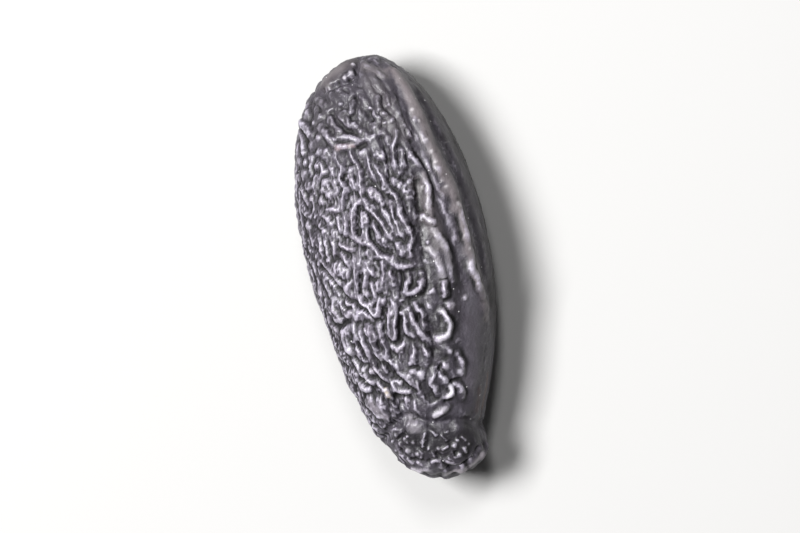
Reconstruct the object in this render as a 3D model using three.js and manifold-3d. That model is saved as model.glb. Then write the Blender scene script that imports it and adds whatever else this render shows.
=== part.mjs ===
// Tonka bean: one dried seed lying on its broad side.
// Millimetres, +Z up. The long axis runs along Y, with the round end at +Y and the blunt nub at -Y.
// The origin is on the surface that the bean rests on, under the middle of its bounding box.
import * as THREE from "three";
import { mergeVertices } from "three/addons/utils/BufferGeometryUtils.js";
import Module from "manifold-3d";

// Driving dimensions
const LENGTH = 33.4;
const WIDTH = 14.4;
const THICKNESS = 10.4;
const REST_SPOT_DEPTH = 0.16; // how much of the belly is pressed flat where the bean rests

// Proportions, as shares of the driving dimensions
const HALF_LENGTH = LENGTH / 2;
const HALF_WIDTH = WIDTH / 2;
const HALF_THICKNESS = THICKNESS / 2;
const NUB_LEAN = 0.06 * HALF_WIDTH; // the nub's tip stands a little to the right of the straight axis
const NUB_START = -0.72 * HALF_LENGTH; // where that lean begins
const SECTION_POWER = 2.35; // 2 is an ellipse, more is squarer: broad faces with rounded shoulders

// Resolution
const SIDES = 64;
const RINGS = 44;
const OUTLINE_STEPS = 60;

// An outline from the round tip to the nub's tip. Each row is a cubic's two handles and its end,
// as shares of the half size across the axis and of the half length along it.
function outline(halfAcross, cubics) {
  const path = new THREE.Path();
  path.moveTo(0, HALF_LENGTH);
  for (const [a, b, c, d, e, f] of cubics) {
    path.bezierCurveTo(
      a * halfAcross, b * HALF_LENGTH,
      c * halfAcross, d * HALF_LENGTH,
      e * halfAcross, f * HALF_LENGTH,
    );
  }
  return path.getPoints(OUTLINE_STEPS);
}

// The four outlines that the skin hangs on. In each, the first cubic rounds the broad end,
// the second tapers to the waist above the nub, and the third closes the blunt nub.
const rightEdge = outline(HALF_WIDTH, [
  [0.52, 1.0, 0.98, 0.48, 0.98, 0.02],
  [0.98, -0.3, 0.75, -0.6, 0.56, -0.785],
  [0.545, -0.87, 0.62, -1.0, 0, -1.0],
]);
const leftEdge = outline(HALF_WIDTH, [
  [0.61, 1.0, 1.02, 0.69, 1.02, 0.37],
  [1.02, -0.09, 0.83, -0.54, 0.53, -0.79],
  [0.42, -0.9, 0.3, -1.0, 0, -1.0],
]);
const back = outline(HALF_THICKNESS, [
  [0.68, 1.0, 1.0, 0.7, 1.0, 0.14],
  [1.0, -0.25, 0.84, -0.6, 0.6, -0.82],
  [0.53, -0.9, 0.5, -1.0, 0, -1.0],
]);
const belly = outline(HALF_THICKNESS, [
  [0.66, 1.0, 1.0, 0.72, 1.0, 0.1],
  [1.0, -0.34, 0.84, -0.62, 0.58, -0.84],
  [0.5, -0.92, 0.46, -1.0, 0, -1.0],
]);

// Distance from the axis to an outline at a place along the bean.
function reach(points, y) {
  const next = points.findIndex((p) => p.y <= y);
  if (next <= 0) return points[0].x;
  const above = points[next - 1];
  const below = points[next];
  const share = (above.y - y) / Math.max(above.y - below.y, Number.EPSILON);
  return THREE.MathUtils.lerp(above.x, below.x, share);
}

// How far the axis has turned aside at a place along the bean.
function lean(y) {
  return NUB_LEAN * (1 - THREE.MathUtils.smoothstep(y, -HALF_LENGTH, NUB_START));
}

// A point of the skin: angle 0 is the right edge and a quarter turn is the top of the back.
function skinPoint(y, angle) {
  const across = Math.cos(angle);
  const up = Math.sin(angle);
  const round = (Math.abs(across) ** SECTION_POWER + Math.abs(up) ** SECTION_POWER) ** (-1 / SECTION_POWER);
  const halfWidth = reach(across >= 0 ? rightEdge : leftEdge, y);
  const halfHeight = reach(up >= 0 ? back : belly, y);
  return new THREE.Vector3(lean(y) + halfWidth * round * across, y, halfHeight * round * up);
}

// The whole skin: a sphere's grid of points, with its poles at the two tips, drawn out to the outlines.
function beanSkin() {
  const geometry = new THREE.SphereGeometry(1, SIDES, RINGS);
  const position = geometry.getAttribute("position");
  const uv = geometry.getAttribute("uv");
  for (let i = 0; i < position.count; i++) {
    const polar = (1 - uv.getY(i)) * Math.PI;
    const angle = Math.PI * (1 - 2 * uv.getX(i));
    const point = skinPoint(HALF_LENGTH * Math.cos(polar), angle);
    position.setXYZ(i, point.x, point.y, point.z);
  }
  geometry.computeBoundingBox();
  return geometry;
}

const wasm = await Module();
wasm.setup();

function toSolid(geometry) {
  const bare = geometry.clone().deleteAttribute("normal").deleteAttribute("uv");
  const merged = mergeVertices(bare);
  return new wasm.Manifold(
    new wasm.Mesh({
      numProp: 3,
      vertProperties: new Float32Array(merged.getAttribute("position").array),
      triVerts: new Uint32Array(merged.index.array),
    }),
  );
}

function toGeometry(solid) {
  const mesh = solid.getMesh();
  const geometry = new THREE.BufferGeometry();
  geometry.setAttribute("position", new THREE.BufferAttribute(mesh.vertProperties, 3));
  geometry.setIndex(new THREE.BufferAttribute(mesh.triVerts, 1));
  geometry.computeVertexNormals();
  return geometry;
}

// The belly's lowest part is cut to a small flat spot, which becomes the resting plane.
function restOnFlat(skin) {
  const { min } = skin.boundingBox;
  const slabHeight = THICKNESS;
  const slab = new THREE.BoxGeometry(2 * WIDTH, 2 * LENGTH, slabHeight);
  slab.translate(0, 0, min.z + REST_SPOT_DEPTH - slabHeight / 2);
  return toGeometry(toSolid(skin).subtract(toSolid(slab)));
}

// The origin goes to the middle of the bean's box, on the resting plane.
function centreOnRestPlane(geometry) {
  geometry.computeBoundingBox();
  const { min, max } = geometry.boundingBox;
  return geometry.translate(-(min.x + max.x) / 2, -(min.y + max.y) / 2, -min.z);
}

const darkSkin = new THREE.MeshStandardMaterial({ color: 0x3b383d, roughness: 0.48, metalness: 0 });
const bean = new THREE.Mesh(centreOnRestPlane(restOnFlat(beanSkin())), darkSkin);
bean.name = "tonka_bean";

const part = new THREE.Group();
part.add(bean);

export default part;
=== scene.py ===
# Tonka bean: one dried seed with a wrinkled coat, modelled around the CAD frame
from math import atan2, cos, hypot, radians, sin

import bmesh
import bpy
import numpy as np
from mathutils import Matrix, Vector, noise
from mathutils.bvhtree import BVHTree


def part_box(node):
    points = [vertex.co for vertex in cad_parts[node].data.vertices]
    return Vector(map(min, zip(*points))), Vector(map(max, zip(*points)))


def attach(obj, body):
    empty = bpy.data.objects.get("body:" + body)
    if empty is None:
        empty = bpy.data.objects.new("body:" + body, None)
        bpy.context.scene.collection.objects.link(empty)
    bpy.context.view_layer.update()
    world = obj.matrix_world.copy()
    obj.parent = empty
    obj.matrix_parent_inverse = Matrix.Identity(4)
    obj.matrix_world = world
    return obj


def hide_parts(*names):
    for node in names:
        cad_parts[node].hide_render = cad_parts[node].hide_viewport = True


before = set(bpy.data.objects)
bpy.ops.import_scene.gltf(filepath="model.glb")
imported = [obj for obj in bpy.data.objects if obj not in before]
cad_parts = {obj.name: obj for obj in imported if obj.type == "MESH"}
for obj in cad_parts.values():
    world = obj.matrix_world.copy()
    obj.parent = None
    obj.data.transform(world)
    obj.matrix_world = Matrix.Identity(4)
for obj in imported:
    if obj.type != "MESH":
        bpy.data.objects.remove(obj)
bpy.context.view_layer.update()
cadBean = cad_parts["tonka_bean"]
mm = 0.001

# How the photograph looks at the bean. Places on its upper side are given as pixels of that picture.
photo = {
    "size": (800, 533),
    "roll": radians(15),  # the view stands this far to the bean's right of straight down
    "lean": radians(9.8),  # the bean's long axis leans this far left of upright
    "pixel": 0.162 * mm,  # what one pixel covers at the bean
    "middle": (303.5, 274.5),  # the pixel at the middle of the bean
}
beanLow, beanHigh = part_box("tonka_bean")
beanMiddle = (beanLow + beanHigh) / 2
acrossBean = Vector((cos(photo["roll"]), 0, -sin(photo["roll"])))
alongBean = Vector((0, 1, 0))
viewRight = acrossBean * cos(photo["lean"]) - alongBean * sin(photo["lean"])
viewUp = acrossBean * sin(photo["lean"]) + alongBean * cos(photo["lean"])
viewOut = viewRight.cross(viewUp)

# How drawn pixels are laid on the skin
casting = {
    "start": 0.1,  # m above the bean's middle
    "pulls": 12,  # tries at drawing a pixel just off the outline in towards the middle
    "pullStep": 0.01,
    "cornerCut": 0.25,  # how much of each leg is cut off at a drawn corner
    "roundings": 2,
}
tiny = 1e-6  # keeps divisions away from zero


# The point of the smooth bean under a pixel
def castPixel(tree, pixel):
    offset = Vector(pixel) - Vector(photo["middle"])
    for pull in range(casting["pulls"]):
        x, y = offset * (1 - casting["pullStep"] * pull) * photo["pixel"]
        start = beanMiddle + viewRight * x - viewUp * y + viewOut * casting["start"]
        hit = tree.ray_cast(start, -viewOut)[0]
        if hit:
            return hit
    raise ValueError(f"no skin under pixel {pixel}")


# A drawn line of pixels, rounded at its corners and laid on the skin
def castLine(tree, pixels):
    line = np.array(pixels, float)
    part = casting["cornerCut"]
    for _ in range(casting["roundings"]):
        if len(line) > 2:
            near = (1 - part) * line[:-1] + part * line[1:]
            far = part * line[:-1] + (1 - part) * line[1:]
            inner = np.stack([near, far], 1).reshape(-1, 2)[1:-1]
            line = np.concatenate([line[:1], inner, line[-1:]])
    return np.array([castPixel(tree, p) for p in line])


# Distance from every point to a line, worked out only within reach of it
def distanceTo(points, line, reach):
    found = np.full(len(points), np.inf)
    close = np.all((points > line.min(0) - reach) & (points < line.max(0) + reach), 1)
    near = points[close]
    best = np.linalg.norm(near - line[0], axis=1)
    for start, end in zip(line[:-1], line[1:]):
        step = end - start
        share = np.clip((near - start) @ step / max(step @ step, tiny ** 2), 0, 1)
        best = np.minimum(best, np.linalg.norm(near - start - share[:, None] * step, axis=1))
    found[close] = best
    return found


# 0 up to the low value and 1 from the high one, with a smooth rise between
def smoothRise(value, low, high):
    share = np.clip((value - low) / (high - low), 0, 1)
    return share * share * (3 - 2 * share)


noiseStyle = {"shift": (7.3, 3.1, 5.7), "fade": 1.0, "lacunarity": 2.0}  # each seed shifts the noise


# Soft noise at each point, about -1 to 1, with lumps of the given size in mm
def lumpyNoise(points, size, seed, octaves=2):
    shift = Vector([seed * step for step in noiseStyle["shift"]])
    fade, lacunarity = noiseStyle["fade"], noiseStyle["lacunarity"]
    scaled = points / (size * mm)
    values = [noise.fractal(Vector(p) + shift, fade, lacunarity, octaves) for p in scaled]
    return np.clip(np.array(values), -1, 1)


# A factor at each point that chance moves up and down from its mean
def chanceFactor(points, style):
    return style["mean"] + style["swing"] * lumpyNoise(points, style["size"], style["seed"])


# How much of a soft ridge there is at each point: 1 on the drawn line, fading over the half width
def softRidge(points, tree, pixels, halfWidth, reach):
    width = halfWidth * photo["pixel"]
    distance = distanceTo(points, castLine(tree, pixels), reach * width)
    return np.exp(-(distance / width) ** 2)


# How much of a flat band there is at each point: 1 along the drawn line, 0 beyond the band's edge
def flatBand(points, tree, pixels, halfWidth, edge, ragged=1):
    width = halfWidth * photo["pixel"]
    distance = distanceTo(points, castLine(tree, pixels), edge["reach"] * width)
    return 1 - smoothRise(distance * ragged, edge["inner"] * width, edge["outer"] * width)


def addObject(name, data):
    added = bpy.data.objects.new(name, data)
    bpy.context.scene.collection.objects.link(added)
    return added


# The smooth skin: a box cut into a fine grid and drawn onto the CAD solid
skin = {
    "cuts": {1: 219, 0: 115, 2: 65},  # cuts along Y, X and Z
    "straight": 0.99,  # how closely an edge must follow an axis to be cut for it
    "core": 0.64,  # the inner axis that the skin is drawn out from, as a share of the length
    "gather": 0.5,  # how far the grid is drawn together on the side that the photograph shows
    "smoothing": 36,  # rounds
    "smoothFactor": 0.5,
}


# Turns a direction about the bean's axis, towards the view
def gathered(direction):
    out, side = direction.dot(viewOut), direction.dot(acrossBean)
    angle = atan2(side, out)
    angle -= skin["gather"] * sin(angle)
    spread = hypot(side, out)
    return alongBean * direction.y + (viewOut * cos(angle) + acrossBean * sin(angle)) * spread


def buildSkin():
    half = (beanHigh - beanLow) / 2
    bm = bmesh.new()
    bmesh.ops.create_cube(bm, size=2)
    bmesh.ops.scale(bm, vec=half, verts=bm.verts)
    bmesh.ops.translate(bm, vec=beanMiddle, verts=bm.verts)
    for axis, cuts in skin["cuts"].items():
        ways = [(e, (e.verts[0].co - e.verts[1].co).normalized()) for e in bm.edges]
        run = [e for e, way in ways if abs(way[axis]) > skin["straight"]]
        bmesh.ops.subdivide_edges(bm, edges=run, cuts=cuts, use_grid_fill=True)
    tree = BVHTree.FromObject(cadBean, bpy.context.evaluated_depsgraph_get())
    reach = skin["core"] * half.y
    for vert in bm.verts:
        core = Vector((beanMiddle.x, min(max(vert.co.y, -reach), reach), beanMiddle.z))
        vert.co = tree.ray_cast(core, gathered(vert.co - core))[0]
    for _ in range(skin["smoothing"]):
        bmesh.ops.smooth_vert(bm, verts=bm.verts, factor=skin["smoothFactor"],
                              use_axis_x=True, use_axis_y=True, use_axis_z=True)
    bmesh.ops.recalc_face_normals(bm, faces=bm.faces)
    mesh = bpy.data.meshes.new("bean")
    bm.to_mesh(mesh)
    bm.free()
    print("skin:", len(mesh.vertices), "points,", len(mesh.polygons), "faces")
    return mesh


def readVectors(items, name):
    flat = np.empty(len(items) * 3, np.float32)
    items.foreach_get(name, flat)
    return flat.reshape(-1, 3).astype(float)


def writePoints(mesh, points):
    mesh.vertices.foreach_set("co", points.astype(np.float32).ravel())
    mesh.update()


# The big forms: each is a line of pixels, a half width in pixels and a height in mm
forms = {
    "shoulder rail": ([(300, 181), (306, 189), (311, 198), (315, 208), (319, 219), (325, 231),
        (329, 241), (333, 254), (336, 267), (340, 281), (344, 294)], 3.8, 0.26),
    "rail groove": ([(301, 191), (305, 199), (309, 208), (314, 219), (319, 231), (323, 243),
        (327, 257), (331, 271), (334, 282)], 2.8, -0.2),
    "flank groove": ([(312, 192), (319, 205), (325, 218), (331, 231), (336, 246), (340, 261),
        (344, 277), (348, 292)], 3, -0.26),
    "flank rib": ([(324, 203), (331, 217), (338, 236), (343, 254), (347, 275)], 2, 0.1),
    "top lobe": ([(269, 185), (274, 181), (279, 178)], 6, 0.22),
    "lobe crease": ([(261, 194), (265, 191), (270, 189), (274, 187), (279, 186.5), (282.5, 182),
        (284, 175)], 1.4, -0.3),
    "nub crease": ([(295, 359), (298, 354), (301, 350), (305, 346), (311, 347.5), (318, 349.5),
        (326, 349), (334, 347.5), (344, 351)], 2.2, -0.4),
    "crease pit": ([(303, 337), (304.5, 341)], 2.6, -0.22),
    "lip gap": ([(325, 371.2), (333, 369.7), (338, 366), (341, 361)], 1.4, -0.27),
    "outer lip": ([(325, 375), (335, 373), (341, 369), (345, 361)], 1.8, 0.2),
    "front lip": ([(303, 368), (307, 371), (312, 372), (317, 371), (320, 369)], 1.4, 0.14),
    "face valley": ([(311, 231), (313, 245), (314, 258), (316, 272)], 3, -0.16),
    "right swell": ([(320, 255), (325, 268), (327, 280)], 4, 0.15),
    "left swell": ([(304, 243), (307, 258), (306, 270)], 3.2, 0.12),
    "low lump": ([(319, 340), (325, 337)], 5, 0.14),
    "ring lump": ([(325, 315), (328, 316)], 4.5, 0.2),
    "hook lump": ([(321, 301), (323, 303)], 4.5, 0.16),
    "leaf lump": ([(287, 336), (294, 344)], 3, 0.08),
}
formReach = 3  # half widths to where a form ends


def pressForms(points, normals, tree):
    for pixels, halfWidth, height in forms.values():
        share = softRidge(points, tree, pixels, halfWidth, formReach)
        points = points + normals * (height * mm * share)[:, None]
    return points


# Crests of the wrinkles, drawn over the photograph: a half width in pixels, a height in mm, a
# pinch and lines of pixels. A pinch of 2 rounds the crests, and 1 makes them sharp.
crests = {
    "upper left": (1.7, 0.15, 2.2, [
        [(262, 193), (266, 196), (267, 200)], [(271, 192), (274, 196), (277, 198)],
        [(274, 190), (277, 193), (279, 194.5), (281, 192), (280, 189), (277, 188.5)],
        [(276, 202), (279, 205), (278, 207.5)], [(256, 205), (259, 209), (261, 212)],
        [(292.5, 194), (294, 200)], [(289, 198), (291, 202), (293, 205), (291, 209)],
        [(294.5, 211), (297, 213), (298.3, 216)], [(273, 219), (275, 217.5), (280, 217.3), (283, 216)],
        [(274, 213), (279, 213), (285, 214.5)], [(265, 208), (269, 212), (272, 217)],
        [(258, 197), (259.5, 202), (257.5, 205)], [(297, 193), (297.5, 197)],
        [(281, 196), (280.5, 201)], [(284, 192), (287, 196), (289, 199)],
    ]),
    "left middle": (1.05, 0.24, 1.4, [
        [(273, 219), (273.5, 223), (276, 229), (274, 232), (276, 235), (278, 238), (276, 243),
         (275.5, 248)],
        [(280, 217.3), (279.5, 221), (282, 225), (284.5, 229), (285, 234), (285.3, 242)],
        [(285.3, 242), (282.5, 244.5), (280, 249.5), (281, 254), (281, 259), (283, 263), (289, 263.5),
         (292, 267), (295, 271), (300, 271)],
        [(285.3, 242), (290, 248), (294, 252), (297, 257), (299.5, 262)], [(274, 251), (275, 258)],
        [(277, 251), (278, 259)], [(265.5, 250), (268.5, 251), (270, 255)], [(260, 257), (262, 264)],
        [(267, 261), (268, 266), (269.5, 272)], [(264, 259), (266, 264), (266.5, 270)],
        [(270, 261), (272.5, 266), (271.5, 270)], [(275, 263.5), (280, 267)],
        [(275, 268), (278, 272), (280, 276)], [(291, 255), (293.5, 260)],
        [(291, 225), (294, 230), (296, 235), (297, 238.5)], [(293, 240.5), (295.5, 245)],
        [(256, 236), (258, 241), (260, 246)], [(264, 224), (267, 228), (265, 233)],
        [(287, 221), (289, 226), (292, 234)], [(268, 247.5), (272, 247), (275.5, 248)],
    ]),
    "right middle": (1.6, 0.27, 1.8, [
        [(300.5, 207), (302, 213), (300.5, 218), (301, 226), (303.5, 230)],
        [(298, 239), (301, 241), (303, 246), (304.5, 252), (308, 257.5), (309.5, 261), (307.3, 266.5),
         (310, 273)],
        [(297, 243), (300.5, 246.5), (300, 250), (303, 256), (306, 261)],
        [(300, 271), (303, 274), (307, 275), (310, 273)], [(295, 246), (298, 252), (302, 259)],
        [(303, 264), (305, 268)], [(304, 219), (305, 226)],
    ]),
    "right streaks": (1.9, 0.2, 2.2, [
        [(305, 207), (308, 211), (311, 215.5)],
        [(306, 215), (309, 222), (314, 229), (315.5, 233), (317.5, 238), (316.5, 243), (318, 250)],
        [(319.5, 223), (321, 227), (322, 232)], [(321, 238), (324, 245), (327, 252)],
        [(316, 251), (319.5, 253.5)], [(319.5, 257), (323, 262), (325, 266), (327, 270)],
        [(317, 265.5), (321, 269), (322, 273), (324, 279)], [(325.5, 272), (327, 276), (328.3, 281)],
        [(331, 246), (333.7, 256), (335.5, 265)],
        [(336.5, 267), (336.7, 275), (339.5, 281), (342.5, 288)],
    ]),
    "lower left": (1.1, 0.23, 1.4, [
        [(281.3, 269), (282.5, 280), (283.2, 287), (285, 291), (290, 296), (292.3, 298.7), (293.5, 295),
         (293.3, 289)],
        [(266, 273), (270, 277), (273, 281), (275, 285)],
        [(280.5, 281.5), (278, 284), (277.3, 286.5), (279, 289)],
        [(286.5, 273), (289, 276), (291.5, 280)], [(295.5, 273), (295.5, 282)],
        [(293, 282.5), (293.3, 286)], [(287, 276), (287, 284)], [(290, 283), (292, 290)],
        [(298.5, 275), (299, 281), (301, 285)], [(272, 288.5), (271.5, 294), (274, 297), (275.3, 302)],
        [(282, 299.5), (284, 296.8), (286.5, 296), (289.7, 300)],
        [(276.5, 306), (277, 311), (278.7, 315), (281, 315.5)],
        [(283.7, 304), (286.5, 311.5), (291, 321), (294, 326), (298, 329)],
        [(288.5, 302), (290, 309), (292, 315), (297.3, 325)],
        [(293.3, 303), (295.5, 309), (296.5, 314), (298, 319), (302.5, 322.5)],
        [(299.5, 290), (302, 295), (301.8, 300), (301.3, 306), (300.3, 310)],
        [(298.5, 295), (298, 301), (298.7, 308)], [(281, 302), (282, 307), (285, 311)],
        [(271.7, 313.5), (273, 318)], [(281, 318), (283.3, 322.5), (287, 328)],
        [(267, 282), (270, 288)],
    ]),
    "lower right": (1.7, 0.38, 2.0, [
        [(308, 278), (306.3, 282), (306.5, 286), (309, 287.7), (312.5, 286.5), (314, 283), (313.3, 278)],
        [(310.5, 291.5), (313, 295), (315, 298), (315.3, 302), (315, 306.5)],
        [(308, 295), (310, 301), (312, 304), (315, 307), (317.5, 312)],
        [(304.7, 297), (306.5, 302), (307, 305), (310, 307.5)],
        [(323.5, 295.5), (326, 299), (327.5, 303), (327, 306), (324, 308.5), (321.5, 309)],
        [(324.3, 282), (325, 288)], [(310, 312.5), (310, 319), (308.5, 321)],
        [(314.3, 312), (316.7, 316), (316.3, 320)], [(322, 325.5), (325, 328), (326, 331)],
        [(327, 331), (328.7, 334), (327.5, 336.3), (325, 336.7)],
        [(330, 331), (333, 332), (333.5, 337)], [(320, 346), (323.5, 343), (327, 341)],
        [(331, 316), (333, 320), (333, 325)], [(320, 323), (319, 329), (321, 335)],
    ]),
    "left edge": (0.9, 0.13, 1.6, [
        [(255, 209), (257, 214), (256.5, 220)], [(255.5, 238), (256, 247), (258, 260), (260, 269)],
        [(262, 272), (264, 281), (265.5, 289)], [(263, 277), (266, 288), (268, 300), (271, 309)],
        [(274, 318), (277, 326), (280, 332)],
        [(280.5, 331), (281.7, 337), (284, 341), (287, 346.5), (290, 351)],
    ]),
    "tip folds": (1.7, 0.13, 2.0, [
        [(285.5, 177), (291, 180.5), (297, 185), (301, 192)], [(284.5, 180), (287.5, 186), (290, 192)],
        [(288, 181), (292, 186), (295, 191)], [(279, 187), (282, 190), (285, 191)],
    ]),
    "rail folds": (2.0, 0.15, 2.0, [
        [(300, 191), (302, 199), (305, 206)], [(303.5, 195), (306.5, 203), (310, 210), (314, 219)],
        [(311, 212), (315, 221), (319, 230), (322, 239)],
        [(317, 226), (321, 235), (325, 246), (328, 256), (331, 266)],
        [(309, 201), (313, 210), (317, 219)],
    ]),
    "nub flecks": (0.95, 0.12, 1.8, [
        [(305.3, 356.8), (306.6, 358.4)], [(314.2, 366.1), (315.9, 366.9)],
        [(318.6, 363.3), (319.6, 364.9)], [(324.2, 361.7), (325.8, 361)],
        [(329.9, 365.3), (331.6, 364.5)], [(334, 361.2), (335.1, 363)],
        [(319.2, 353.5), (320.9, 354.6)], [(301, 354.5), (302, 356.5)], [(305, 354), (306.5, 355.5)],
        [(301.5, 363), (303, 362)], [(307, 367), (309, 368.5)], [(311.5, 368), (314, 369.3)],
        [(318.5, 367.5), (321.5, 367)], [(327, 366.3), (329, 367)], [(333.2, 356), (334.5, 357.5)],
        [(323.5, 355), (325.5, 357)], [(309.5, 372), (314, 372.3)], [(303.5, 366.5), (305, 369)],
    ]),
    "lip folds": (1.3, 0.12, 2.0, [
        [(322, 367), (324.5, 371), (326, 376)], [(331, 367.5), (333.5, 370), (334, 373)],
    ]),
    "nub end": (1.3, 0.2, 1.6, [
        [(288, 340.5), (291, 343.3), (294, 345.8), (297.2, 347.3)],
        [(292.5, 337.5), (295, 341), (297, 345)], [(287, 326.5), (290, 330)],
        [(284, 331), (286, 333), (288.3, 333.5)],
        [(299.8, 330.5), (301, 333.8), (304, 334.3), (308, 333.7)], [(297.5, 356), (301, 353)],
        [(310.3, 339), (311.5, 342.5), (313, 345)], [(315.3, 354.5), (314.5, 359.5)],
        [(325, 367), (328, 368), (332.3, 368)], [(302, 361), (304, 365), (307, 369)],
        [(306, 337), (308, 342)],
    ]),
}
crestShape = {
    "reach": 6,  # half widths to where a crest's foot ends
    "footWidth": 2.3,  # the foot's half width, in the crest's own
    "footShare": 0.6,  # how deep the skin sinks beside a crest, as a share of its height
    "endHeight": 0.45,  # the share of the height at a crest's ends
    "taper": 3,  # half widths over which it falls to that
    "nearHeight": 0.16,  # mm of foot where a point counts as lying on a drawn line
}
drawnChance = {"mean": 0.8, "swing": 0.7, "size": 1.1, "seed": 7}  # makes the drawn heights uneven
drawnSide = (0.05, 0.4)  # the drawn relief fades in as the skin turns to face the view
wander = {"far": 0.12, "size": 0.8, "seed": 20, "octaves": 4}  # mm that chance moves the drawn lines

# Beads on the skin, by their radius in pixels
beadShape = {"rise": 0.11, "pinch": 1.7}  # mm of height for each pixel of radius
beads = {
    0.8: [(303, 359.5), (315, 355), (309.5, 359), (336.5, 359.5), (326, 353.5), (317, 361), (331, 357.5),
          (299.5, 358.5), (322, 361.5), (313.5, 358.5)],
    1.0: [(257.8, 203), (311.7, 364), (287, 287.3), (292.7, 284), (295.3, 291), (276, 323), (296, 206),
          (293, 258), (272, 315), (294.3, 318.8), (282, 173.5)],
    1.3: [(306.8, 362.8), (329.3, 360), (303.5, 365), (281.3, 178.5), (280, 182.3), (277, 184.4),
          (261.5, 206), (282.5, 207.5), (285, 210), (275.3, 210), (272.5, 214.5), (257, 220),
          (268.5, 220), (260, 211.5), (289, 199), (296, 202), (293.5, 204), (291.5, 208.5),
          (291.5, 213), (265.5, 250), (268.5, 251.3), (270.3, 254.3), (290.7, 238.3), (296.2, 237.5),
          (261, 242.5), (265.7, 243), (255.5, 244), (257.7, 225), (266.5, 238), (260, 235.5),
          (262, 236), (275.5, 228.5), (262, 262), (267.3, 264), (261, 272), (264.5, 273.5), (293, 269),
          (288, 268), (295.3, 281), (278.5, 298.3), (272, 290), (275, 301), (272.5, 304.5),
          (276.5, 308), (286, 311), (299.8, 312.5), (302.3, 314), (302, 321.8), (281, 319.5),
          (286.3, 323.7), (290, 324.3), (297.5, 300), (300, 296.5), (319, 286), (317.2, 293.2),
          (334.5, 289.3), (327, 314.5), (303.5, 329.5), (307.8, 334), (324.6, 328), (316.3, 263),
          (301, 234)],
    1.7: [(275, 197), (263, 193.5), (274.5, 190), (265.5, 202.5), (265, 213.3), (261.5, 216.5),
          (276, 217.5), (299.5, 205.5), (264, 226.5), (267, 229.8), (264.5, 233), (257.5, 230.5),
          (268.5, 234.5), (269, 271.5), (279.7, 315.2), (322, 309), (325.3, 321.8), (332, 324.3),
          (313.8, 326), (309.8, 324)],
    2.1: [(259, 198), (259.5, 255.7), (327.5, 293)],
}

# Flat plates of skin, raised or sunk: a line of pixels, a half width in pixels and a height in mm
plateEdge = {"reach": 3, "inner": 0.55, "outer": 1.25}  # in half widths
plates = [
    ([(277, 202), (278.5, 207)], 2.2, 0.12), ([(255.5, 205), (259, 209), (260, 211)], 1.8, 0.12),
    ([(281, 229), (282, 236)], 2.6, 0.06), ([(267.5, 235), (269.5, 240)], 2.4, 0.12),
    ([(286.5, 250), (287.5, 261)], 1.8, 0.1), ([(271, 275), (277, 278)], 3, 0.12),
    ([(272, 291), (273.5, 299)], 2.6, 0.14), ([(288.5, 304), (290.5, 308)], 2.6, 0.12),
    ([(276.5, 306), (279, 314)], 2.2, 0.12), ([(300, 297), (300.5, 308)], 1.8, 0.08),
    ([(289, 338), (295, 345)], 2.8, 0.1), ([(286, 331.5), (288, 333)], 2, 0.12),
    ([(296.7, 333), (298, 336)], 1, 0.14), ([(303, 200), (308, 209)], 2, 0.08),
    ([(321, 299), (321, 304)], 2.4, -0.12), ([(321, 315), (324, 317)], 3, -0.1),
    ([(315, 330), (318, 337)], 2.4, -0.1),
]

# The deepest furrows: a line of pixels, a half width in pixels and a depth in mm
furrowReach = 4  # half widths to where a furrow ends
furrows = [
    ([(265.5, 275), (270, 279), (274, 284.5), (278, 290), (283, 292.5), (288.5, 296.5)], 1.3, 0.22),
    ([(271, 201), (274, 206), (279, 210)], 1.3, 0.18),
    ([(295, 193), (297, 199), (299, 201)], 1.3, 0.18), ([(289, 201), (290.5, 205)], 1.2, 0.18),
    ([(303.3, 299), (303.7, 309)], 1.4, 0.24), ([(296, 295), (296.5, 304)], 1.3, 0.2),
    ([(284, 312), (286.7, 317.5)], 1.3, 0.22), ([(284, 217.7), (286.5, 216.3)], 1.2, 0.2),
    ([(283.5, 246), (283, 259)], 1, 0.16),
    ([(289, 257), (291, 263), (296, 267), (299, 268.5)], 1.1, 0.16),
    ([(284.7, 279), (284.7, 287)], 1.1, 0.18), ([(304.3, 278), (304.3, 285)], 1.1, 0.2),
    ([(308.5, 290), (311.5, 288.5)], 1.2, 0.2), ([(312.5, 297), (312, 300)], 1.2, 0.2),
    ([(318, 298), (319.5, 306)], 1.8, 0.14), ([(309, 322.3), (311.5, 322.7)], 1.1, 0.18),
    ([(322, 323), (323, 321)], 1.1, 0.16), ([(328, 329), (331.5, 328.3)], 1.1, 0.2),
    ([(284.7, 328.7), (287.5, 330.7)], 1, 0.2),
    ([(293, 318), (298, 323.5), (304, 329), (310.5, 334)], 1.1, 0.18),
    ([(302, 336), (305, 336.5)], 1.3, 0.2), ([(325.5, 338.3), (327.5, 337.8)], 1.1, 0.16),
    ([(311.5, 233), (311.5, 239), (313, 248)], 1.3, 0.14), ([(298, 240.7), (301, 242.3)], 0.9, 0.14),
    ([(295, 213), (297, 219), (298, 224)], 1.1, 0.16), ([(306, 209), (309, 214)], 1.1, 0.12),
    ([(257, 262), (260, 268)], 1, 0.16), ([(276, 289.5), (276.5, 294.5), (280, 294.5)], 1.1, 0.14),
    ([(271.5, 301), (274, 303.7), (278, 301)], 1.1, 0.16), ([(302.8, 357), (305.5, 354.5)], 1.3, 0.2),
    ([(309, 367.5), (311, 367)], 1.2, 0.2), ([(315, 366.5), (317, 367.5)], 1.1, 0.18),
    ([(321, 364), (322, 365)], 1, 0.18), ([(330, 363), (330.2, 364.5)], 0.9, 0.18),
    ([(317, 350.5), (322, 352), (328, 351.5)], 1.6, 0.12), ([(335, 364), (338, 360)], 2, 0.12),
    ([(303.5, 362), (303.8, 364)], 0.8, 0.14), ([(327, 358), (328.5, 360)], 1.2, 0.12),
]

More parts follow.
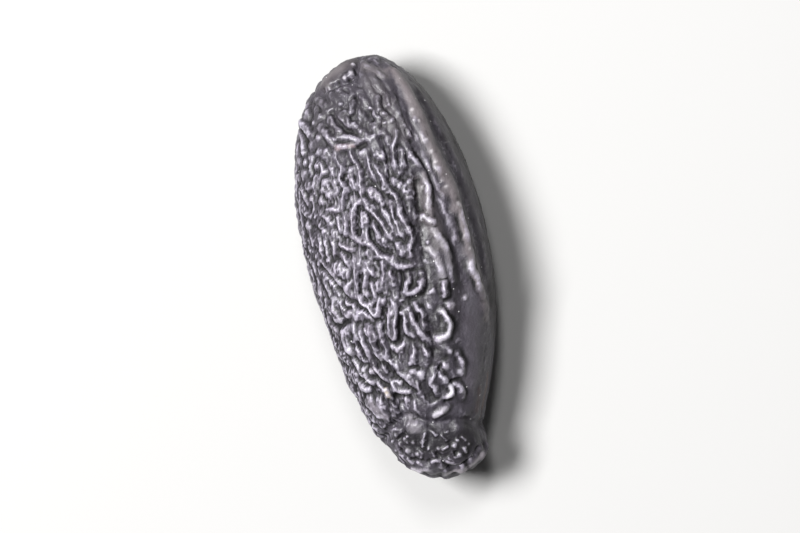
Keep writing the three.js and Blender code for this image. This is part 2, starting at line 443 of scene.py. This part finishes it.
# Smooth parts of the skin: a line of pixels, a half width in pixels and how much wrinkling is lost
smoothEdge = {"reach": 2.2, "inner": 0.2, "outer": 1.7}  # in half widths
smoothParts = [
    ([(266, 187), (272, 182), (279, 178)], 5, 0.85),  # lobe at the round end
    ([(282, 173), (290, 172), (298, 174)], 4, 0.6),  # tip of the round end
    ([(289, 181), (297, 184)], 6, 0.6),
    ([(292, 187), (299, 200), (304, 212)], 5, 0.45),  # beside the rail
    ([(314, 230), (318, 246), (323, 260), (329, 276)], 6, 0.75),  # right of the face
    ([(301, 184), (307, 192), (312, 201), (316, 211), (320, 222), (326, 233), (330, 243), (334, 256),
      (337, 270), (342, 285)], 6, 1),  # shoulder rail
    ([(308, 182), (320, 198), (330, 216), (338, 236), (344, 258), (348, 280), (350, 300)],
     8, 1),  # flank
    ([(338, 290), (339, 305), (337, 320), (339, 332)], 8, 1),  # smooth patch
    ([(318, 341), (324, 339)], 4.5, 0.5),
    ([(289.5, 338.5), (295.5, 345.5)], 2.4, 0.4),  # leaf
    ([(319, 354), (328, 358), (337, 356)], 6, 0.7),  # end of the nub
]

# The plain flank at the bean's right, by the angle around the bean from the view and by mm along it
flank = {
    "start": (radians(58), radians(78)),
    "end": (radians(115), radians(150)),
    "fromNub": (-12.5, -11),
    "toRound": (11, 14.5),
    "roundLoss": 0.8,  # how much of the flank is lost towards the round end
    "loss": 0.9,  # how much of the wrinkling is lost on the flank
}

# The grown wrinkles. Sizes are in mm.
wrinkle = {
    "spacing": 0.68,  # from crest to crest at the left edge of the face
    "spacingRight": 1.3,
    "spacingTop": 0.95,  # towards the round end
    "spacingHidden": 0.95,  # on the sides that the photograph doesn't show
    "turnTop": radians(28),  # how far they turn aside from the bean's length, towards the round end
    "turnLow": radians(20),  # and towards the nub
    "stretch": 2.2,  # how much further they run along the bean than across it
    "rounds": 30,
    "gain": 2.8,
    "bias": -0.05,  # above zero joins the crests, below it joins the creases
    "disorder": 0.6,  # how much chance there is in the net
    "swelling": 2.8,  # above one narrows the creases
    "crestLevel": 0.9,  # the grown height that counts as a crest's top
    "hold": 1.2,  # how firmly the drawn lines lead the wrinkles
    "holdHeight": 0.1,  # the drawn height that leads them fully
    "besideDrawn": 0.5,  # how much of them is lost beside drawn lines
    "height": 0.29,  # from furrow to crest
    "heightRight": 0.08,
    "heightHidden": 0.32,
    "heightNub": 0.11,
    "sunk": 0.6,  # how much of the height lies below the smooth skin
    "level": 0.5,  # the ridge value of level skin
    "contrast": 0.2,  # from the darkest furrow to the palest crest
    "seed": 11,
}
spacingChance = {"mean": 1, "swing": 0.25, "size": 4, "seed": 1}
crestChance = {"mean": 0.9, "swing": 0.6, "size": 1.2, "seed": 3}
hiddenChance = {"swing": 0.5, "size": 3, "seed": 2}  # for the heights on the hidden sides
ridgeParts = {40: 0.45, 6: 0.9, 2: 1.2}  # blurs around a point, and the weight of standing out from each

# Fine folds over the wrinkles
crumple = {
    "spacing": 0.36,
    "hiddenWider": 0.7,  # how much is added to that on the hidden sides
    "stretch": 2.2,
    "rounds": 12,
    "gain": 2.8,
    "bias": 0.05,
    "disorder": 0.6,
    "height": 0.1,
    "seed": 5,
}

# The unevenness under the wrinkles, drawn out along the bean, and its share on the smooth parts
swell = {"size": 2.6, "height": 0.2, "draw": (1, 0.6, 1), "onSmooth": 0.25, "seed": 4}
dimple = {"size": 0.6, "height": 0.035, "draw": (1, 0.5, 1), "onSmooth": 1, "seed": 8}

# How wrinkles and folds grow
growth = {
    "blur": 0.306,  # the wide blur, as a share of the spacing
    "stepLimit": 0.85,  # how far one step may take a value to its neighbours' mean
    "percentile": 97,  # how many points in a hundred get all of their blur
    "smallPart": 4,  # the small blur is one in so many of the steps
    "start": 0.3,  # the height of the noise that they start from
    "lumps": 0.55,  # the size of the lumps of chance, as a share of the spacing
    "octaves": 3,
    "draw": (1, 0.6, 1),  # draws the chance out along the bean
}

# Where the wrinkles change. Each range goes from no effect to the full one.
zones = {
    "seen": (-0.5, 0.35),  # how squarely the skin faces the view
    "right": (-1, 3.5),  # mm right of the middle, in the view
    "widening": (-6.5, 3.5),
    "leftEdge": (2.5, 5.5),  # mm left of the middle
    "top": (7, 10),  # mm towards the round end
    "tip": (14.5, 16),
    "low": (2, 6),  # mm towards the nub
    "turning": (-2, 4),
    "nub": (11.5, 13),
    "sides": (0.15, 0.6),  # how squarely the skin faces away from the ends
}

# What the zones do to the wrinkles, as shares
narrower = {"low": 0.8}
longer = {"right": 0.5, "leftEdge": 0.9, "hidden": 0.4, "low": 0.6}
shorter = {"top": 0.45}
lower = {"nub": 0.7, "tip": 0.3, "leftEdge": 0.5, "top": 0.2}
calmer = {"right": 0.7, "nub": 0.75, "top": 0.5, "hidden": 0.3}
fainter = {"top": 0.35, "hidden": 0.1}


# The neighbours of each point, as a table four wide. A point with only three repeats itself.
def neighbourTable(mesh):
    edges = np.empty(len(mesh.edges) * 2, np.int32)
    mesh.edges.foreach_get("vertices", edges)
    edges = edges.reshape(-1, 2)
    here = np.concatenate([edges[:, 0], edges[:, 1]])
    there = np.concatenate([edges[:, 1], edges[:, 0]])
    order = np.argsort(here, kind="stable")
    here, there = here[order], there[order]
    column = np.arange(len(here)) - np.searchsorted(here, here)
    table = np.repeat(np.arange(len(mesh.vertices))[:, None], 4, 1)
    table[here, column] = there
    return table


# Points moved a little by chance, so that drawn lines come out crooked and uneven like the skin's own
def crooked(points):
    moved = points.copy()
    for axis in range(3):
        chance = lumpyNoise(points, wander["size"], wander["seed"] + axis, wander["octaves"])
        moved[:, axis] += wander["far"] * mm * chance
    return moved


# Raises one drawn line or bead: a top of the given half width over a broader foot. Ends taper off.
def raiseLine(tops, feet, points, line, halfWidth, height, pinch):
    width = halfWidth * photo["pixel"]
    distance = distanceTo(points, line, crestShape["reach"] * width)
    taper = 1
    if len(line) > 2:
        toStart = np.linalg.norm(points - line[0], axis=1)
        toEnd = np.linalg.norm(points - line[-1], axis=1)
        rise = smoothRise(np.minimum(toStart, toEnd), 0, crestShape["taper"] * width)
        taper = crestShape["endHeight"] + (1 - crestShape["endHeight"]) * rise
    np.maximum(tops, taper * height * np.exp(-(distance / width) ** pinch), out=tops)
    footWidth = crestShape["footWidth"] * width
    np.maximum(feet, height * np.exp(-(distance / footWidth) ** 2), out=feet)


# All the drawn relief in mm, and how near each point is to a drawn line, from 0 to 1
def drawnRelief(points, tree):
    tops, feet, flats, cuts = np.zeros((4, len(points)))
    for halfWidth, height, pinch, lines in crests.values():
        for pixels in lines:
            raiseLine(tops, feet, points, castLine(tree, pixels), halfWidth, height, pinch)
    for radius, places in beads.items():
        for pixel in places:
            line = castLine(tree, [pixel])
            raiseLine(tops, feet, points, line, radius, beadShape["rise"] * radius, beadShape["pinch"])
    for pixels, halfWidth, height in plates:
        flats += height * flatBand(points, tree, pixels, halfWidth, plateEdge)
    for pixels, halfWidth, depth in furrows:
        cuts = np.maximum(cuts, depth * softRidge(points, tree, pixels, halfWidth, furrowReach))
    near = np.clip(feet / crestShape["nearHeight"], 0, 1)
    raised = (1 + crestShape["footShare"]) * tops - crestShape["footShare"] * feet + flats
    return raised * chanceFactor(points, drawnChance) - cuts, near


# How strongly each point wrinkles of itself, from 0 on the smooth parts to 1
def wrinkleStrength(points, normals, tree):
    strength = np.ones(len(points))
    for pixels, halfWidth, loss in smoothParts:
        strength *= 1 - loss * flatBand(points, tree, pixels, halfWidth, smoothEdge)
    around = np.arctan2(normals @ np.array(acrossBean), normals @ np.array(viewOut))
    along = points[:, 1] / mm
    share = smoothRise(around, *flank["start"]) * (1 - smoothRise(around, *flank["end"]))
    toRound = flank["roundLoss"] * smoothRise(along, *flank["toRound"])
    share *= smoothRise(along, *flank["fromNub"]) * (1 - toRound)
    return strength * (1 - flank["loss"] * share)


# Wrinkles grow as a drying skin buckles: each round keeps what lies between a small and a wide blur
def growWrinkles(table, points, normals, spacing, stretch, turn, style, pull=0.0):
    toNeighbour = (points[table] - points[:, None, :]) / mm
    length = np.maximum(np.linalg.norm(toNeighbour, axis=2), tiny)
    lengthwise = np.array(alongBean) - normals * normals[:, 1:2]
    lengthwise /= np.maximum(np.linalg.norm(lengthwise, axis=1), tiny)[:, None]
    sideways = np.cross(normals, lengthwise)
    lengthwise = lengthwise * np.cos(turn)[:, None] + sideways * np.sin(turn)[:, None]
    along = np.einsum("ijk,ik->ij", toNeighbour, lengthwise) / length
    weight = (1 + (stretch[:, None] - 1) * along ** 2) / length ** 2
    weight[table == np.arange(len(points))[:, None]] = 0
    total = weight.sum(1)
    weight /= total[:, None]
    wideBlur = (growth["blur"] * spacing) ** 2 * total / 2
    steps = int(np.ceil(np.percentile(wideBlur, growth["percentile"]) / growth["stepLimit"]))
    amount = np.clip(wideBlur / steps, 0, growth["stepLimit"])

    random = np.random.default_rng(style["seed"])
    height = growth["start"] * random.standard_normal(len(points))
    lumps = growth["lumps"] * spacing.mean()
    chance = lumpyNoise(points * np.array(growth["draw"]), lumps, style["seed"], growth["octaves"])
    bias = style["bias"] + style["disorder"] * chance
    for _ in range(style["rounds"]):
        blurred = height
        for step in range(steps):
            blurred = blurred + amount * ((blurred[table] * weight).sum(1) - blurred)
            if step == steps // growth["smallPart"]:
                small = blurred
        height = np.tanh(style["gain"] * (small - blurred) + bias + pull)
    print("wrinkles:", style["rounds"], "rounds of", steps, "blurs")
    return height


# Broad swollen plates with narrow creases between them, from 0 in a crease to 1 on a crest
def plateProfile(height):
    share = 1 - np.arccos(np.clip(height / wrinkle["crestLevel"], -1, 1)) / np.pi
    return 1 - (1 - share) ** wrinkle["swelling"]


# What the wrinkles are at each point: mm from crest to crest, how much longer than broad, how far
# turned, mm high, mm of crumpling, mm from fold to fold, and how bold their colours are
def wrinkleFields(points, normals):
    right = (points - np.array(beanMiddle)) @ np.array(viewRight) / mm
    along = points[:, 1] / mm
    hidden = 1 - smoothRise(normals @ np.array(viewOut), *zones["seen"])
    shown = 1 - hidden
    toRight = smoothRise(right, *zones["right"]) * shown
    toTop = smoothRise(along, *zones["top"]) * (1 - toRight)
    toTip = smoothRise(along, *zones["tip"])
    toLow = smoothRise(-along, *zones["low"])
    toNub = smoothRise(-along, *zones["nub"])
    toLeftEdge = smoothRise(-right, *zones["leftEdge"]) * shown * (1 - toTop)

    widening = smoothRise(right, *zones["widening"]) * shown
    widening = toRight + (widening - toRight) * (1 - narrower["low"] * toLow)
    spacing = wrinkle["spacing"] + (wrinkle["spacingRight"] - wrinkle["spacing"]) * widening
    spacing += (wrinkle["spacingTop"] - spacing) * toTop
    spacing += (wrinkle["spacingHidden"] - spacing) * hidden * (1 - toNub)
    spacing *= chanceFactor(points, spacingChance)
    fineSpacing = crumple["spacing"] * (1 + crumple["hiddenWider"] * hidden)

    sides = smoothRise(1 - np.abs(normals[:, 1]), *zones["sides"])
    stretch = 1 + (wrinkle["stretch"] - 1) * sides * (1 - toNub) * (1 - shorter["top"] * toTop)
    stretch *= (1 + longer["right"] * toRight + longer["leftEdge"] * toLeftEdge
                + longer["hidden"] * hidden + longer["low"] * toLow * (1 - toNub))
    turn = wrinkle["turnTop"] * toTop + wrinkle["turnLow"] * smoothRise(-along, *zones["turning"])
    turn *= shown

    height = wrinkle["height"] + (wrinkle["heightRight"] - wrinkle["height"]) * toRight
    height += (wrinkle["heightNub"] - height) * toNub
    height += (wrinkle["heightHidden"] - height) * hidden * (1 - lower["nub"] * toNub)
    kept = (1 - lower["tip"] * toTip) * (1 - lower["leftEdge"] * toLeftEdge)
    height *= kept * (1 - lower["top"] * toTop)
    chance = lumpyNoise(points, hiddenChance["size"], hiddenChance["seed"])
    height *= 1 + hiddenChance["swing"] * hidden * chance
    crumpling = crumple["height"] * (1 - calmer["right"] * toRight) * (1 - calmer["nub"] * toNub)
    crumpling = crumpling * (1 - calmer["top"] * toTop) * (1 - calmer["hidden"] * hidden)
    boldness = 1 - fainter["top"] * toTop - fainter["hidden"] * hidden
    return spacing, stretch, turn, height, crumpling, fineSpacing, boldness


# How far each value stands above the mean around it
def standingOut(table, values, blurs):
    mean = values
    for _ in range(blurs):
        mean = (mean + mean[table].mean(1)) / 2
    return values - mean


mesh = buildSkin()
points = readVectors(mesh.vertices, "co")
normals = readVectors(mesh.vertex_normals, "vector")
smoothTree = BVHTree.FromPolygons([Vector(p) for p in points], [p.vertices for p in mesh.polygons])
table = neighbourTable(mesh)
spacing, stretch, turn, height, crumpling, fineSpacing, boldness = wrinkleFields(points, normals)
strength = wrinkleStrength(points, normals, smoothTree)
drawn, nearDrawn = drawnRelief(crooked(points), smoothTree)
print("drawn relief:", round(drawn.min(), 2), "to", round(drawn.max(), 2), "mm")
pull = wrinkle["hold"] * np.clip(drawn / wrinkle["holdHeight"], -1, 1)
ridge = growWrinkles(table, points, normals, spacing, stretch, turn, wrinkle, pull)
fineStretch = crumple["stretch"] * np.ones(len(points))
fold = growWrinkles(table, points, normals, fineSpacing, fineStretch, turn, crumple)

# The relief in mm: drawn and grown wrinkles, swells and dimples
swollen = plateProfile(ridge) * chanceFactor(points, crestChance)
grown = height * (swollen - wrinkle["sunk"]) + crumpling / 2 * fold
facing = smoothRise(normals @ np.array(viewOut), *drawnSide)
relief = drawn * facing + grown * strength * (1 - wrinkle["besideDrawn"] * nearDrawn)
for style in (swell, dimple):
    uneven = style["height"] * lumpyNoise(points * np.array(style["draw"]), style["size"], style["seed"])
    relief += uneven * (style["onSmooth"] + (1 - style["onSmooth"]) * strength)
ridge = sum(weight * standingOut(table, relief, blurs) for blurs, weight in ridgeParts.items())

smoothPoints = points
points = pressForms(points, normals, smoothTree)
writePoints(mesh, points)
points = points + readVectors(mesh.vertex_normals, "vector") * (relief * mm)[:, None]
points[:, 2] = np.maximum(points[:, 2], 0)  # the floor
moved = np.einsum("ij,ij->i", points - smoothPoints, normals) / mm
print("skin moved:", round(moved.min(), 2), "to", round(moved.max(), 2), "mm")
writePoints(mesh, points)
# The ridge attribute sets painted shade in furrows, painted highlights on crests, roughness and wax
ridgeLayer = mesh.attributes.new("ridge", "FLOAT", "POINT")
ridge = np.clip(wrinkle["level"] + ridge * boldness / wrinkle["contrast"], 0, 1)
ridgeLayer.data.foreach_set("value", ridge.astype(np.float32))
mesh.shade_smooth()

bean = addObject("bean_skin_wrinkled", mesh)
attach(bean, "root")
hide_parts("tonka_bean")

# Skin finish. Levels are values of the ridge attribute: 0 in the deepest furrows, 1 on the crests.
coat = {
    # painted shade: the furrows turn near-black where shade falls in them
    "furrow": (0.0045, 0.0038, 0.0047),
    "furrowLevels": (0.1, 0.42),  # from all of the furrows' colour to none
    "skin": (0.0425, 0.038, 0.0483),
    # painted highlights: a pale crest colour where the crests catch the light, broken into glints
    "crest": (0.365, 0.342, 0.405),
    "crestLevels": (0.57, 1.02),  # from none of the crests' colour to all
    "glint": {"size": 0.3, "detail": 2},  # mm, paler spots along the crests
    "glintLevels": (0.36, 0.64),
    "glintShares": (0.5, 1),
    "mottle": {"size": 1.4, "detail": 4},  # mm, paler and darker patches
    "mottleLevels": (0.3, 0.7),
    "mottleDark": (0.72, 0.68, 0.7),
    "mottleShare": 0.8,
    "speck": (0.5, 0.49, 0.5),
    "speckSpacing": 1.2,  # mm between the pale specks of dust
    "speckEdge": (0.035, 0.065),  # as a share of that
    "speckShare": 0.8,
    "roughness": (0.7, 0.34),  # in the furrows and on the crests
    "shine": 0.34,
    "wax": (0.0, 0.18),  # the thin natural wax, in the furrows and on the crests
    "waxLevels": (0.15, 0.6),
    "waxRoughness": 0.28,
    "grain": {"size": 0.22, "detail": 3},  # mm, the finest texture of the skin
    "grainDepth": 0.09,
    "grainStrength": 0.6,
}

# Stains and painted light and shade: a line of pixels, a half width in pixels, the colour and how much
# shows
stainAndLightEdge = {"reach": 2, "inner": 0.4, "outer": 1.6}  # in half widths
# Painted shade: a near-black colour for where shade falls
paintedShade = (0.013, 0.0115, 0.0145)
stainAndLightChance = {"mean": 1.1, "swing": 0.6, "size": 0.8, "seed": 9}  # makes the edges ragged
stainsAndPaintedLight = {
    # painted shade over the flank, which faces away from the light, on top of its own dark brown
    "flank": ([(314, 184), (325, 200), (334, 217), (342, 238), (347, 258), (350, 280), (351, 305)], 8,
        (0.007, 0.004, 0.0045), 0.94),
    # painted highlights: pale sheen along the shoulder rail and bright streaks at its end
    "rail": ([(301, 182), (307, 190), (312, 200), (316, 210), (320, 221), (326, 233), (330, 243),
        (334, 256), (337, 270), (342, 285), (345, 298)], 3.2, (0.18, 0.16, 0.167), 0.8),
    "rail top": ([(300, 181), (304, 187), (308, 195), (311, 203)], 2.6, (0.17, 0.152, 0.158), 0.7),
    "rail end": ([(334, 254), (336.5, 267), (340, 280), (343, 290)], 1.6, (0.2, 0.185, 0.195), 0.7),
    "nub": ([(310, 359), (322, 359), (336, 357)], 8, (0.009, 0.0078, 0.0097), 0.84),
    "upper left": ([(264, 200), (272, 206), (282, 204)], 12, (0.028, 0.025, 0.029), 0.5),
    # painted sheen: the left face made paler where it turns to the light
    "left face": ([(276, 236), (280, 255), (284, 275), (290, 296)], 12, (0.13, 0.119, 0.145), 0.55),
    # painted shade along the lower left edge, which turns away from the light
    "left edge": ([(251, 225), (253, 240), (256, 256), (261, 276), (267, 296), (274, 316), (283, 338),
        (294, 356)], 4.5, paintedShade, 0.7),
    # painted shade in the valleys beside the rail
    "valley": ([(311, 231), (312, 240), (314, 250), (314, 260), (316, 272), (318, 284)], 2.6,
        (0.013, 0.0115, 0.014), 0.7),
    "rail valley": ([(326, 262), (330, 272), (331, 284), (331, 300), (329, 312)], 2.6,
        (0.016, 0.014, 0.0175), 0.7),
    # painted shade in the floors of the dishes on the lower right
    "hook floor": ([(320, 297), (321, 305)], 2.6, paintedShade, 0.7),
    "ring floor": ([(319, 313), (324, 317)], 2.8, paintedShade, 0.7),
    "low floor": ([(315, 329), (318, 337)], 2.6, paintedShade, 0.7),
    # painted highlights on the rims of the dishes
    "hook": ([(324, 296), (326.5, 299.5), (327.5, 303), (326, 307), (322, 309)], 1.2,
        (0.46, 0.44, 0.49), 0.8),
    "low hook": ([(327.5, 331.5), (328.5, 334), (326, 336.5)], 1.2, (0.5, 0.48, 0.53), 0.85),
    "low rim": ([(320.5, 345.5), (325, 342)], 1.3, (0.42, 0.4, 0.44), 0.8),
    "nub patch": ([(308, 347), (310.5, 352)], 3, (0.22, 0.205, 0.23), 0.5),
    # painted highlights along the lips of the nub
    "nub lip": ([(326, 373.5), (333, 372), (338.5, 369), (342.5, 364)], 1.3, (0.42, 0.385, 0.425), 0.8),
    "front lip": ([(309.5, 371.3), (313, 372.3), (317, 371.5)], 1.3, (0.42, 0.395, 0.44), 0.75),
    # painted highlight on the leaf-shaped lump
    "leaf": ([(289, 338), (293, 342.5), (297, 346.5)], 1.8, (0.24, 0.22, 0.25), 0.5),
    "lobe": ([(267, 187), (273, 182), (279, 178)], 5, (0.056, 0.049, 0.053), 0.75),
    "lobe shine": ([(267, 186.5), (271.5, 182.5), (276, 180)], 2.4, (0.15, 0.136, 0.141), 0.5),
    "patch": ([(338, 290), (339, 305), (338, 320), (338, 330)], 5.5, (0.085, 0.078, 0.093), 0.8),
    # painted highlight at the start of the rail by the tip
    "top": ([(287, 179), (296, 183)], 3.5, (0.125, 0.112, 0.118), 0.5),
    "upper field": ([(290, 186), (297, 198), (303, 212)], 4.5, (0.085, 0.077, 0.083), 0.5),
    "brown field": ([(313, 235), (318, 250), (322, 264)], 4.5, (0.085, 0.072, 0.074), 0.45),
    # painted highlights along the soft folds
    "streak": ([(319.5, 257), (323, 262.5), (325.5, 267), (327.5, 274)], 1.6, (0.25, 0.235, 0.26), 0.6),
    "inner streak": ([(317.5, 266), (321, 270), (322.5, 274), (324, 280)], 1.5,
        (0.24, 0.225, 0.25), 0.6),
    "fold streak": ([(314.5, 230), (317, 237), (316.8, 245), (318, 250)], 1.2, (0.22, 0.2, 0.215), 0.5),
    "worn edge": ([(345.5, 326), (344.5, 336), (342.5, 347)], 1.5, (0.12, 0.066, 0.05), 0.6),
    "red edge": ([(341.5, 333), (341, 343)], 2, (0.04, 0.014, 0.015), 0.7),
    "ochre bead": ([(296.8, 333.2), (298.4, 336.3)], 1, (0.36, 0.31, 0.24), 0.75),
    "pink crest": ([(274, 218.5), (276, 217.5), (281, 217)], 1.2, (0.34, 0.25, 0.27), 0.4),
}

# Painted highlights on the beads towards the nub, the larger the paler
beadHighlight = {"below": 285, "colour": (0.46, 0.44, 0.49), "size": 0.8, "share": 0.3}

# Small pale glints along the rail and the lobe
glints = {"colour": (0.55, 0.53, 0.55), "halfWidth": 0.8, "share": 0.6, "places": [
    (312, 205.5), (315.5, 214.5), (318, 220), (320, 225), (323, 234), (325, 236.5), (330.5, 244.5),
    (331.5, 245.5), (314.3, 236.8), (317.5, 253), (336, 266), (309, 200), (281.3, 178.5), (280, 182.3),
    (277, 184.4)]}


# Paints real stains together with painted shade and painted highlights into one colour attribute
def paintStainsAndLight(mesh, points, tree):
    colour = np.ones((len(points), 4))
    colour[:, 3] = 0
    ragged = chanceFactor(points, stainAndLightChance)
    # painted highlights on the bead tops
    litBeads = [([pixel], beadHighlight["size"] * radius, beadHighlight["colour"], beadHighlight["share"] * radius)
               for radius, places in beads.items() for pixel in places if pixel[1] > beadHighlight["below"]]
    shining = [([pixel], glints["halfWidth"], glints["colour"], glints["share"])
               for pixel in glints["places"]]
    painted = [*stainsAndPaintedLight.values(), *litBeads, *shining]
    for pixels, halfWidth, stainAndPaintedLight, amount in painted:
        share = amount * flatBand(points, tree, pixels, halfWidth, stainAndLightEdge, ragged)
        total = share + colour[:, 3] * (1 - share)
        over = share / np.maximum(total, tiny)
        colour[:, :3] += (np.array(stainAndPaintedLight) - colour[:, :3]) * over[:, None]
        colour[:, 3] = total
    layer = mesh.attributes.new("stainAndPaintedLight", "FLOAT_COLOR", "POINT")
    layer.data.foreach_set("color", colour.astype(np.float32).ravel())
    print("stains:", len(painted), "places")


def skinMaterial():
    material = bpy.data.materials.new("dried_bean_skin")
    material.use_nodes = True
    nodes, links = material.node_tree.nodes, material.node_tree.links
    shader = nodes["Principled BSDF"]
    place = nodes.new("ShaderNodeTexCoord")

    def addNoise(style):
        texture = nodes.new("ShaderNodeTexNoise")
        texture.inputs["Scale"].default_value = 1 / (style["size"] * mm)
        texture.inputs["Detail"].default_value = style["detail"]
        links.new(place.outputs["Object"], texture.inputs["Vector"])
        return texture.outputs["Fac"]

    def addMix(share, first, second, blend="MIX"):
        mix = nodes.new("ShaderNodeMix")
        mix.data_type = "RGBA"
        mix.blend_type = blend
        sockets = mix.inputs[0], mix.inputs[6], mix.inputs[7]  # those of a colour mix
        for socket, value in zip(sockets, (share, first, second)):
            if isinstance(value, bpy.types.NodeSocket):
                links.new(value, socket)
            else:
                socket.default_value = value
        return mix.outputs[2]

    def addProduct(*factors):
        product = nodes.new("ShaderNodeMath")
        product.operation = "MULTIPLY"
        for factor, socket in zip(factors, product.inputs):
            links.new(factor, socket)
        return product.outputs["Value"]

    def addRange(value, levels, results):
        span = nodes.new("ShaderNodeMapRange")
        links.new(value, span.inputs["Value"])
        names = "From Min", "From Max", "To Min", "To Max"
        for name, limit in zip(names, (*levels, *results)):
            span.inputs[name].default_value = limit
        return span.outputs["Result"]

    def addAttribute(name):
        attribute = nodes.new("ShaderNodeAttribute")
        attribute.attribute_name = name
        return attribute.outputs

    ridgeHeight = addAttribute("ridge")["Fac"]
    # real stains and painted light and shade, laid over the skin colour
    stainAndPaintedLight = addAttribute("stainAndPaintedLight")
    colour = addMix(stainAndPaintedLight["Alpha"], (*coat["skin"], 1), stainAndPaintedLight["Color"])
    # painted shade in the furrows
    furrowShare = addRange(ridgeHeight, coat["furrowLevels"], (1, 0))
    colour = addMix(furrowShare, colour, (*coat["furrow"], 1))
    # painted highlights on the crests, broken into glints by noise
    glintShare = addRange(addNoise(coat["glint"]), coat["glintLevels"], coat["glintShares"])
    crestShare = addProduct(addRange(ridgeHeight, coat["crestLevels"], (0, 1)), glintShare)
    colour = addMix(crestShare, colour, (*coat["crest"], 1), "LIGHTEN")

    patches = nodes.new("ShaderNodeValToRGB")
    shades = coat["mottleDark"], (1, 1, 1)
    for stop, level, shade in zip(patches.color_ramp.elements, coat["mottleLevels"], shades):
        stop.position = level
        stop.color = (*shade, 1)
    links.new(addNoise(coat["mottle"]), patches.inputs["Fac"])
    colour = addMix(coat["mottleShare"], colour, patches.outputs["Color"], "MULTIPLY")
    specks = nodes.new("ShaderNodeTexVoronoi")
    specks.inputs["Scale"].default_value = 1 / (coat["speckSpacing"] * mm)
    links.new(place.outputs["Object"], specks.inputs["Vector"])
    speckShare = addRange(specks.outputs["Distance"], coat["speckEdge"], (coat["speckShare"], 0))
    colour = addMix(speckShare, colour, (*coat["speck"], 1))
    links.new(colour, shader.inputs["Base Color"])

    links.new(addRange(ridgeHeight, (0, 1), coat["roughness"]), shader.inputs["Roughness"])
    shader.inputs["Specular IOR Level"].default_value = coat["shine"]
    links.new(addRange(ridgeHeight, coat["waxLevels"], coat["wax"]), shader.inputs["Coat Weight"])
    shader.inputs["Coat Roughness"].default_value = coat["waxRoughness"]
    bump = nodes.new("ShaderNodeBump")
    bump.inputs["Strength"].default_value = coat["grainStrength"]
    bump.inputs["Distance"].default_value = coat["grainDepth"] * mm
    links.new(addNoise(coat["grain"]), bump.inputs["Height"])
    links.new(bump.outputs["Normal"], shader.inputs["Normal"])
    return material


paintStainsAndLight(mesh, smoothPoints, smoothTree)
mesh.materials.append(skinMaterial())

# Floor, light and camera. Distances and sizes are in m.
studio = {
    "floor": (0.36, 0.357, 0.353),
    "floorRoughness": 0.8,
    "floorSize": 1.5,
    "world": 0.08,
    "viewHeight": 41.5 * mm,  # what the picture's height covers at the bean
    "distance": 0.42,
    "clip": 0.01,
}

# Softboxes, placed by the photograph's view
softboxes = {
    "key": {"out": 0.95, "right": -0.7, "up": 0.12, "distance": 0.5, "size": (0.2, 0.2), "power": 6.2},
    "top": {"out": 1, "right": -0.1, "up": 0.5, "distance": 0.6, "size": (0.1, 0.16), "power": 1.6},
}


def buildFloor():
    bm = bmesh.new()
    bmesh.ops.create_grid(bm, x_segments=1, y_segments=1, size=studio["floorSize"])
    floorMesh = bpy.data.meshes.new("floor")
    bm.to_mesh(floorMesh)
    bm.free()
    material = bpy.data.materials.new("pale_floor")
    material.use_nodes = True
    shader = material.node_tree.nodes["Principled BSDF"]
    shader.inputs["Base Color"].default_value = (*studio["floor"], 1)
    shader.inputs["Roughness"].default_value = studio["floorRoughness"]
    floorMesh.materials.append(material)
    addObject("floor", floorMesh)


def addSoftbox(name, style):
    light = bpy.data.lights.new(name, "AREA")
    light.shape = "RECTANGLE"
    light.size, light.size_y = style["size"]
    light.energy = style["power"]
    towards = viewOut * style["out"] + viewRight * style["right"] + viewUp * style["up"]
    box = addObject(name, light)
    box.location = beanMiddle + towards.normalized() * style["distance"]
    box.rotation_euler = towards.to_track_quat("Z", "Y").to_euler()


def addCamera():
    camera = bpy.data.cameras.new("camera")
    viewer = addObject("camera", camera)
    across, down = photo["size"]
    frameWidth = studio["viewHeight"] * across / down
    camera.lens = camera.sensor_width * studio["distance"] / frameWidth
    camera.clip_start = studio["clip"]
    turn = Matrix((viewRight, viewUp, viewOut)).transposed().to_4x4()
    viewer.matrix_world = Matrix.Translation(beanMiddle + viewOut * studio["distance"]) @ turn
    bpy.context.scene.camera = viewer


buildFloor()
for name, style in softboxes.items():
    addSoftbox(name, style)
addCamera()
world = bpy.data.worlds.new("studio")
world.use_nodes = True
world.node_tree.nodes["Background"].inputs["Color"].default_value = (1, 1, 1, 1)
world.node_tree.nodes["Background"].inputs["Strength"].default_value = studio["world"]
bpy.context.scene.world = world
bpy.context.scene.view_settings.view_transform = "Standard"
print("studio:", len(softboxes), "softboxes, floor and camera")
